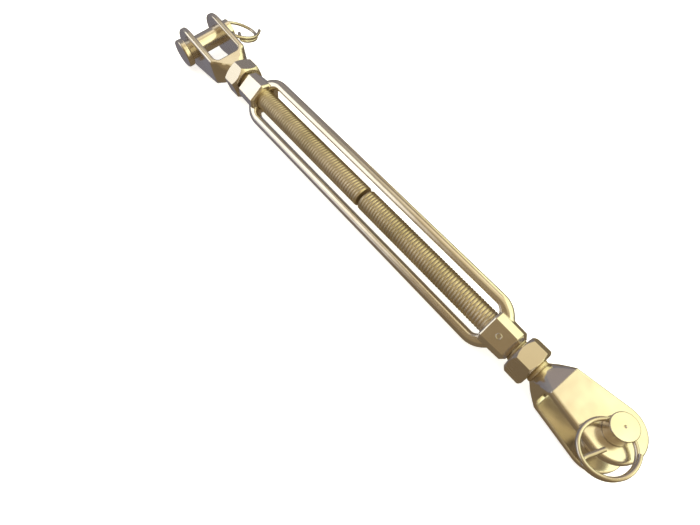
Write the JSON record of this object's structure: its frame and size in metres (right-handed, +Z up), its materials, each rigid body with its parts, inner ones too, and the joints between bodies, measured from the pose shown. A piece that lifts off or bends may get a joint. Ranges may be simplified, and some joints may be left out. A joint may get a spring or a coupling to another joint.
{
  "type": "rigging screw",
  "caption": "Open-body rigging screw with a fork, clevis pin and split ring at each end, and lock nuts against the forged frame.",
  "frame": {"origin": "middle of the body frame's window, on the screw axis", "axes": "+X along the screw axis towards the right fork, +Z up as the part lies, the right clevis pin parallel to Z"},
  "size_m": [0.3394, 0.0604, 0.0355],
  "materials": {
    "body": "polished",
    "jaw": "polished",
    "nut": "satin",
    "pin": "polished",
    "ring": "polished wire"
  },
  "bodies": {
    "frame": {"body_frame": "body"},
    "left_nut": {"left_lock_nut": "nut"},
    "right_nut": {"right_lock_nut": "nut"},
    "left_jaw": {"left_jaw_stud": "jaw"},
    "right_jaw": {"right_jaw_stud": "jaw"},
    "left_pin": {"left_clevis_pin": "pin"},
    "right_pin": {"right_clevis_pin": "pin"},
    "left_ring": {"left_split_ring": "ring"},
    "right_ring": {"right_split_ring": "ring"}
  },
  "joints": [
    {"name": "left_turn", "type": "hinge", "parent": "frame", "child": "left_nut", "pos_m": [-0.1136, 0, 0], "axis": [1, 0, 0], "range_deg": [0, 16200]},
    {"name": "left_travel", "type": "slide", "parent": "left_nut", "child": "left_jaw", "axis": [-1, 0, 0], "range_m": [0, 0.0787]},
    {"name": "right_turn", "type": "hinge", "parent": "frame", "child": "right_nut", "pos_m": [0.1136, 0, 0], "axis": [1, 0, 0], "range_deg": [0, 16200]},
    {"name": "right_travel", "type": "slide", "parent": "right_nut", "child": "right_jaw", "axis": [1, 0, 0], "range_m": [0, 0.0787]},
    {"name": "left_pin_turn", "type": "hinge", "parent": "left_jaw", "child": "left_pin", "pos_m": [-0.1565, 0, 0], "axis": [0, 0.9976, 0.0698], "continuous": true},
    {"name": "right_pin_turn", "type": "hinge", "parent": "right_jaw", "child": "right_pin", "pos_m": [0.1565, 0, 0], "axis": [0, 0, 1], "continuous": true},
    {"name": "left_ring_swing", "type": "hinge", "parent": "left_pin", "child": "left_ring", "pos_m": [-0.1565, 0.01456, 0.00102], "axis": [0.9994, -0.0024, 0.0348], "range_deg": [-60, 118]},
    {"name": "right_ring_swing", "type": "hinge", "parent": "right_pin", "child": "right_ring", "pos_m": [0.1565, 0, 0.0164], "axis": [-0.9925, -0.1219, 0], "range_deg": [0, 190]}
  ],
  "couplings": [
    {"joint": "left_turn", "follows": "left_travel", "rad_per_m": 3590.4},
    {"joint": "right_turn", "follows": "right_travel", "rad_per_m": 3590.4}
  ]
}
